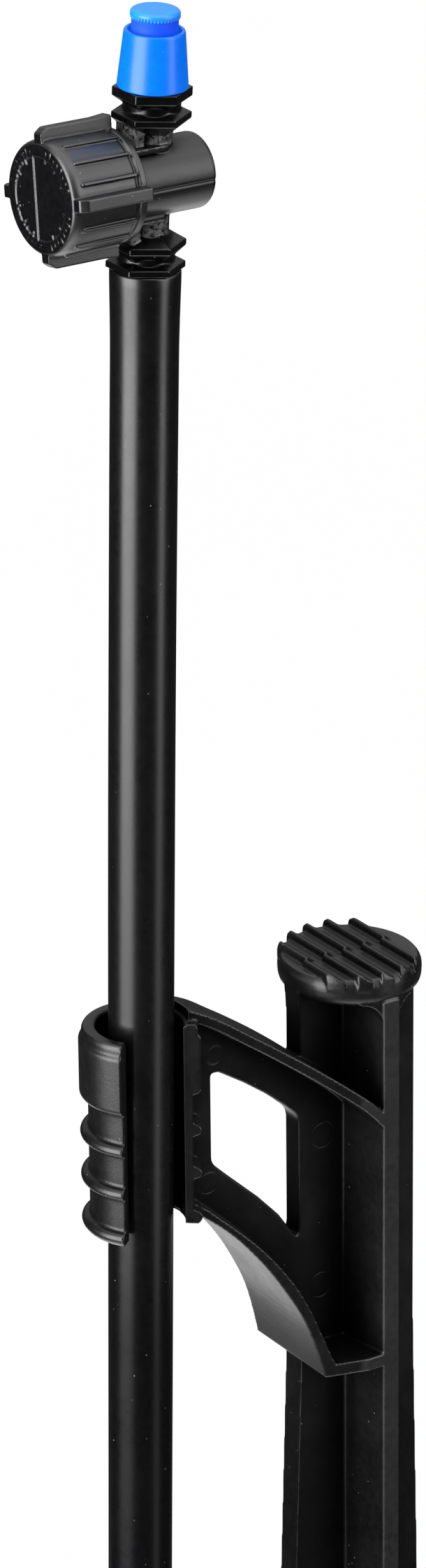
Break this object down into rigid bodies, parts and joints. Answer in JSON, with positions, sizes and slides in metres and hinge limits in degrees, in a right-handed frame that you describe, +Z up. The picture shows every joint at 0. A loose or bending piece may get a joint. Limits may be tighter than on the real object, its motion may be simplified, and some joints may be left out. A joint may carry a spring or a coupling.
{
  "type": "micro irrigation emitter on a stake",
  "caption": "Adjustable micro-irrigation nozzle on a quarter-turn shut-off valve, on a polyethylene riser held in the clip of a ground stake.",
  "frame": {"origin": "centre of the blunt tip of the stake, where it enters the soil", "axes": "+Z up along the riser, -X the way the valve knob points, -Y the way the clip opens"},
  "size_m": [0.0579, 0.0186, 0.3094],
  "materials": {
    "stake_plastic": "satin moulded black polypropylene with fine specks",
    "polyethylene_tube": "satin extruded black polyethylene",
    "valve_plastic": "semi-gloss moulded black plastic",
    "plug_plastic": "smooth dark grey acetal",
    "knob_plastic": "satin moulded black plastic with fine specks",
    "blue_plastic": "semi-gloss bright blue plastic",
    "seal_rubber": "matte black rubber"
  },
  "bodies": {
    "stake": {"stake": "stake_plastic"},
    "riser": {"riser_tube": "polyethylene_tube", "inlet_barb": "valve_plastic"},
    "valve": {"valve_body": "valve_plastic", "nozzle_body": "blue_plastic"},
    "knob": {"knob": "knob_plastic", "valve_plug": "plug_plastic", "plug_oring_rear": "seal_rubber", "plug_oring_front": "seal_rubber"},
    "cap_seal": {"cap_oring": "seal_rubber"},
    "cap": {"nozzle_cap": "blue_plastic"}
  },
  "joints": [
    {"name": "riser_slide", "type": "slide", "parent": "stake", "child": "riser", "axis": [0, 0, 1], "range_m": [-0.06, 0.06]},
    {"name": "head_turn", "type": "hinge", "parent": "riser", "child": "valve", "pos_m": [-0.03439, -0.00019, 0.2782], "axis": [0.0189, -0.036, 0.9992], "continuous": true},
    {"name": "knob_turn", "type": "hinge", "parent": "valve", "child": "knob", "pos_m": [-0.03419, -0.00058, 0.28894], "axis": [0.9992, 0.037, -0.0175], "range_deg": [0, 90]},
    {"name": "cap_lift", "type": "slide", "parent": "valve", "child": "cap_seal", "axis": [0.0189, -0.036, 0.9992], "range_m": [-0.0004, 0.00079]},
    {"name": "cap_turn", "type": "hinge", "parent": "cap_seal", "child": "cap", "pos_m": [-0.03386, -0.00122, 0.30658], "axis": [0.0189, -0.036, 0.9992], "range_deg": [-180, 360]}
  ],
  "couplings": [
    {"joint": "cap_turn", "follows": "cap_lift", "rad_per_m": 7913.3}
  ]
}
